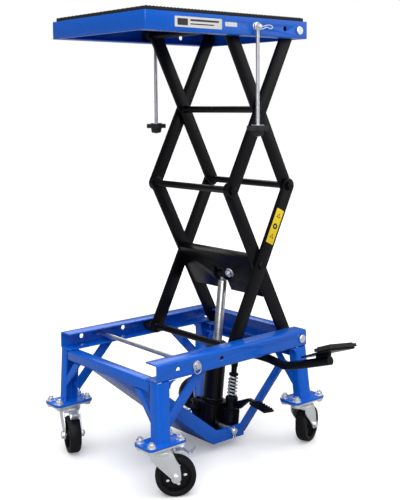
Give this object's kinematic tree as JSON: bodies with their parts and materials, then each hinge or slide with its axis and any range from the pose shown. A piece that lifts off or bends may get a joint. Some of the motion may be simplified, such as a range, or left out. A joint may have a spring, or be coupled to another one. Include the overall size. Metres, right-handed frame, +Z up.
{
  "type": "scissor lift table",
  "caption": "Foot-pumped hydraulic scissor lift table: a flat matted platform on two crossed arm stages over a low wheeled frame.",
  "frame": {"origin": "bottom centre of the bounding box, on the floor under the casters", "axes": "+Z up; +X along the rails from the braked end to the end with the fixed scissor pivots; -Y is the side the two foot pedals stand on"},
  "size_m": [0.4784, 0.5166, 0.8803],
  "materials": {
    "blue_paint": "gloss powder coat",
    "black_paint": "satin powder coat",
    "zinc_plate": "bright zinc plate",
    "steel": "drawn steel",
    "chrome": "hard chrome",
    "wheel": "moulded",
    "mat_rubber": "textured",
    "knob_plastic": "moulded"
  },
  "bodies": {
    "base": {"rail_near": "blue_paint", "leg_front_near": "blue_paint", "leg_rear_near": "blue_paint", "rail_far": "blue_paint", "leg_front_far": "blue_paint", "leg_rear_far": "blue_paint", "beam_front": "blue_paint", "beam_rear": "blue_paint", "jack_cradle": "blue_paint", "jack_pin": "zinc_plate", "caster_mount_front_near": "zinc_plate", "caster_mount_front_far": "zinc_plate", "caster_mount_rear_near": "zinc_plate", "caster_mount_rear_far": "zinc_plate"},
    "lock_bar": {"lock_bar": "steel"},
    "lower_inner_arms": {"arm_lower_inner_near": "black_paint", "arm_lower_inner_far": "black_paint", "jack_bracket": "black_paint", "tube_middle_front": "black_paint"},
    "lower_outer_arms": {"arm_lower_outer_near": "black_paint", "arm_lower_outer_far": "black_paint", "tube_lower_axle": "black_paint"},
    "upper_outer_arms": {"arm_upper_outer_near": "black_paint", "arm_upper_outer_far": "black_paint"},
    "upper_inner_arms": {"arm_upper_inner_near": "black_paint", "arm_upper_inner_far": "black_paint", "tube_middle_rear": "black_paint", "tube_upper_centre": "black_paint", "tube_upper_axle": "black_paint"},
    "platform": {"platform_pan": "blue_paint", "platform_mat": "mat_rubber", "tie_pin_near": "zinc_plate", "tie_pin_far": "zinc_plate"},
    "jack_body": {"jack_base": "black_paint", "jack_cylinder": "black_paint", "pump_spring": "steel"},
    "jack_ram": {"jack_ram": "chrome"},
    "pump_plunger": {"pump_plunger": "steel"},
    "pump_lever": {"pump_lever": "black_paint", "pump_pedal_pad": "mat_rubber"},
    "release_pedal": {"release_pedal": "black_paint"},
    "roller_lower_near": {"roller_lower_near": "knob_plastic"},
    "roller_upper_near": {"roller_upper_near": "knob_plastic"},
    "roller_lower_far": {"roller_lower_far": "knob_plastic"},
    "roller_upper_far": {"roller_upper_far": "knob_plastic"},
    "tie_rod_near": {"tie_rod_near": "steel"},
    "tie_knob_near": {"tie_knob_near": "knob_plastic"},
    "tie_rod_far": {"tie_rod_far": "steel"},
    "tie_knob_far": {"tie_knob_far": "knob_plastic"},
    "caster_fork_front_near": {"caster_fork_front_near": "zinc_plate"},
    "caster_wheel_front_near": {"caster_wheel_front_near": "wheel"},
    "caster_brake_front_near": {"caster_brake_front_near": "zinc_plate"},
    "caster_fork_front_far": {"caster_fork_front_far": "zinc_plate"},
    "caster_wheel_front_far": {"caster_wheel_front_far": "wheel"},
    "caster_brake_front_far": {"caster_brake_front_far": "zinc_plate"},
    "caster_fork_rear_near": {"caster_fork_rear_near": "zinc_plate"},
    "caster_wheel_rear_near": {"caster_wheel_rear_near": "wheel"},
    "caster_fork_rear_far": {"caster_fork_rear_far": "zinc_plate"},
    "caster_wheel_rear_far": {"caster_wheel_rear_far": "wheel"}
  },
  "joints": [
    {"name": "lift", "type": "hinge", "parent": "base", "child": "lower_inner_arms", "pos_m": [0.16583, 0.07161, 0.228], "axis": [0, 1, 0], "range_deg": [-22.13, 0]},
    {"name": "lower_cross", "type": "hinge", "parent": "lower_inner_arms", "child": "lower_outer_arms", "pos_m": [0.08785, 0.07161, 0.38439], "axis": [0, 1, 0], "range_deg": [0, 44.29]},
    {"name": "upper_outer_fold", "type": "hinge", "parent": "lower_inner_arms", "child": "upper_outer_arms", "pos_m": [0.00988, 0.07161, 0.54078], "axis": [0, 1, 0], "range_deg": [0, 44.29]},
    {"name": "upper_inner_fold", "type": "hinge", "parent": "lower_outer_arms", "child": "upper_inner_arms", "pos_m": [0.16583, 0.07161, 0.54078], "axis": [0, 1, 0], "range_deg": [-44.29, 0]},
    {"name": "platform_level", "type": "hinge", "parent": "upper_outer_arms", "child": "platform", "pos_m": [0.16583, 0.07161, 0.85356], "axis": [0, 1, 0], "range_deg": [-22.15, 0]},
    {"name": "jack_tilt", "type": "hinge", "parent": "base", "child": "jack_body", "pos_m": [0.05783, 0.07161, 0.036], "axis": [0, 1, 0], "range_deg": [-7.5, 0]},
    {"name": "ram_stroke", "type": "slide", "parent": "jack_body", "child": "jack_ram", "axis": [0.1201, 0, 0.9928], "range_m": [-0.03784, 0]},
    {"name": "roller_lower_near_spin", "type": "hinge", "parent": "lower_outer_arms", "child": "roller_lower_near", "pos_m": [0.00988, -0.06839, 0.228], "axis": [0, 1, 0], "continuous": true},
    {"name": "roller_upper_near_spin", "type": "hinge", "parent": "upper_inner_arms", "child": "roller_upper_near", "pos_m": [0.00988, -0.06639, 0.85356], "axis": [0, 1, 0], "continuous": true},
    {"name": "roller_lower_far_spin", "type": "hinge", "parent": "lower_outer_arms", "child": "roller_lower_far", "pos_m": [0.00988, 0.2116, 0.228], "axis": [0, 1, 0], "continuous": true},
    {"name": "roller_upper_far_spin", "type": "hinge", "parent": "upper_inner_arms", "child": "roller_upper_far", "pos_m": [0.00988, 0.20961, 0.85356], "axis": [0, 1, 0], "continuous": true},
    {"name": "lock_bar_pull", "type": "slide", "parent": "base", "child": "lock_bar", "axis": [0, -1, 0], "range_m": [0, 0.35]},
    {"name": "pump_lever_press", "type": "hinge", "parent": "jack_body", "child": "pump_lever", "pos_m": [0.08692, 0.04161, 0.17652], "axis": [0.9928, 0, -0.1201], "range_deg": [0, 18], "stiffness_Nm_per_rad": 25, "springref_deg": -6.88},
    {"name": "plunger_stroke", "type": "slide", "parent": "jack_body", "child": "pump_plunger", "axis": [-0.1201, 0, -0.9928], "range_m": [0, 0.00514], "deforming": ["pump_spring"]},
    {"name": "release_pedal_press", "type": "hinge", "parent": "jack_body", "child": "release_pedal", "pos_m": [0.07575, 0.0056, 0.0842], "axis": [0.9928, 0, -0.1201], "range_deg": [0, 12], "stiffness_Nm_per_rad": 8, "springref_deg": -5.73},
    {"name": "tie_rod_near_swing", "type": "hinge", "parent": "platform", "child": "tie_rod_near", "pos_m": [0.04383, -0.0884, 0.855], "axis": [0, 1, 0], "range_deg": [-60, 60]},
    {"name": "tie_knob_near_spin", "type": "hinge", "parent": "tie_rod_near", "child": "tie_knob_near", "pos_m": [0.04383, -0.0884, 0.655], "axis": [0, 0, 1], "continuous": true},
    {"name": "tie_rod_far_swing", "type": "hinge", "parent": "platform", "child": "tie_rod_far", "pos_m": [0.04383, 0.23161, 0.855], "axis": [0, 1, 0], "range_deg": [-60, 60]},
    {"name": "tie_knob_far_spin", "type": "hinge", "parent": "tie_rod_far", "child": "tie_knob_far", "pos_m": [0.04383, 0.23161, 0.655], "axis": [0, 0, 1], "continuous": true},
    {"name": "caster_front_near_swivel", "type": "hinge", "parent": "base", "child": "caster_fork_front_near", "pos_m": [-0.19617, -0.08239, 0.085], "axis": [0, 0, 1], "continuous": true},
    {"name": "caster_front_near_spin", "type": "hinge", "parent": "caster_fork_front_near", "child": "caster_wheel_front_near", "pos_m": [-0.17406, -0.09788, 0.0375], "axis": [0.5736, 0.8192, 0], "continuous": true},
    {"name": "caster_front_near_brake", "type": "hinge", "parent": "caster_fork_front_near", "child": "caster_brake_front_near", "pos_m": [-0.17242, -0.09903, 0.0835], "axis": [0.5736, 0.8192, 0], "range_deg": [0, 8]},
    {"name": "caster_front_far_swivel", "type": "hinge", "parent": "base", "child": "caster_fork_front_far", "pos_m": [-0.19617, 0.2256, 0.085], "axis": [0, 0, 1], "continuous": true},
    {"name": "caster_front_far_spin", "type": "hinge", "parent": "caster_fork_front_far", "child": "caster_wheel_front_far", "pos_m": [-0.20541, 0.20023, 0.0375], "axis": [0.9397, -0.342, 0], "continuous": true},
    {"name": "caster_front_far_brake", "type": "hinge", "parent": "caster_fork_front_far", "child": "caster_brake_front_far", "pos_m": [-0.20609, 0.19835, 0.0835], "axis": [0.9397, -0.342, 0], "range_deg": [0, 8]},
    {"name": "caster_rear_near_swivel", "type": "hinge", "parent": "base", "child": "caster_fork_rear_near", "pos_m": [0.17583, -0.08239, 0.085], "axis": [0, 0, 1], "continuous": true},
    {"name": "caster_rear_near_spin", "type": "hinge", "parent": "caster_fork_rear_near", "child": "caster_wheel_rear_near", "pos_m": [0.2012, -0.07316, 0.0375], "axis": [-0.342, 0.9397, 0], "continuous": true},
    {"name": "caster_rear_far_swivel", "type": "hinge", "parent": "base", "child": "caster_fork_rear_far", "pos_m": [0.17583, 0.2256, 0.085], "axis": [0, 0, 1], "continuous": true},
    {"name": "caster_rear_far_spin", "type": "hinge", "parent": "caster_fork_rear_far", "child": "caster_wheel_rear_far", "pos_m": [0.15046, 0.23484, 0.0375], "axis": [-0.342, -0.9397, 0], "continuous": true}
  ],
  "couplings": [
    {"joint": "lower_cross", "follows": "lift", "ratio": -2},
    {"joint": "upper_outer_fold", "follows": "lift", "ratio": -2},
    {"joint": "upper_inner_fold", "follows": "lift", "ratio": 2},
    {"joint": "platform_level", "follows": "lift", "ratio": 1},
    {"joint": "jack_tilt", "follows": "lift", "ratio": 0.33784},
    {"joint": "ram_stroke", "follows": "lift", "m_per_rad": 0.097439},
    {"joint": "plunger_stroke", "follows": "pump_lever_press", "m_per_rad": 0.015738}
  ]
}
